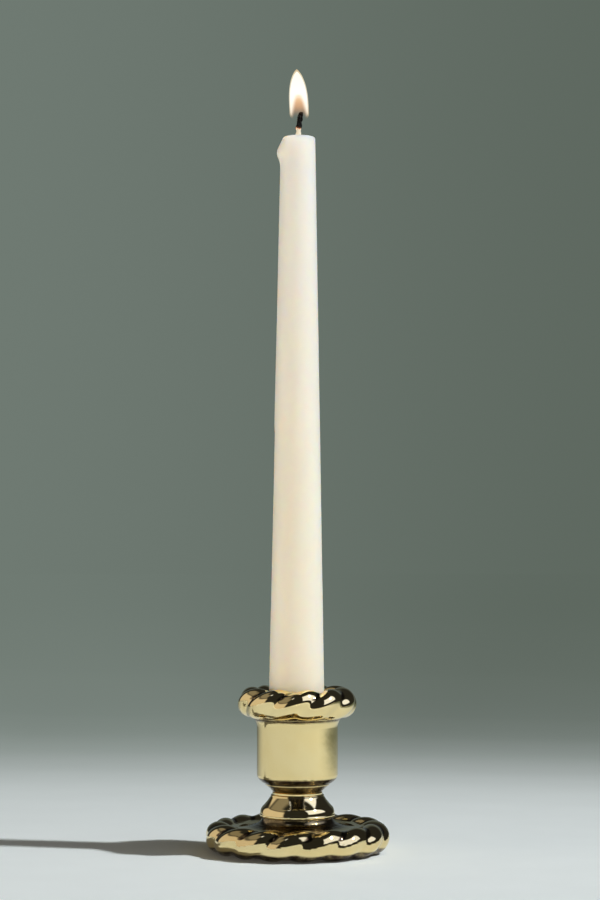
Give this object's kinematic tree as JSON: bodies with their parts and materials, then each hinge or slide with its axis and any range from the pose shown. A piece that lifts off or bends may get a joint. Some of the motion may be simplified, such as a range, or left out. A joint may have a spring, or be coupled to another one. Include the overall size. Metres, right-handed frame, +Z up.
{
  "type": "taper candle holder",
  "caption": "Polished brass candle holder with rope-twist foot and rim, holding a lit ivory taper candle that lifts out of its socket.",
  "frame": {"origin": "on the table, under the middle of the base, at the underside of the felt", "axes": "+Z up along the candle, -Y towards the side seen first, +X to the right from there"},
  "size_m": [0.0734, 0.0734, 0.2961],
  "materials": {
    "polished_brass": "polished and lacquered",
    "plated_steel": "zinc plated",
    "brown_felt": "felt",
    "ivory_wax": "wax",
    "wick_cotton": "charred cotton"
  },
  "bodies": {
    "holder": {"base_casting": "polished_brass", "neck_collar": "polished_brass", "candle_cup": "polished_brass", "tie_rod": "plated_steel", "hex_nut": "plated_steel", "flat_washer": "plated_steel", "felt_pad": "brown_felt"},
    "candle": {"taper_candle": "ivory_wax", "wick": "wick_cotton"}
  },
  "joints": [
    {"name": "candle_lift", "type": "slide", "parent": "holder", "child": "candle", "axis": [0, 0, 1], "range_m": [0, 0.04]}
  ]
}
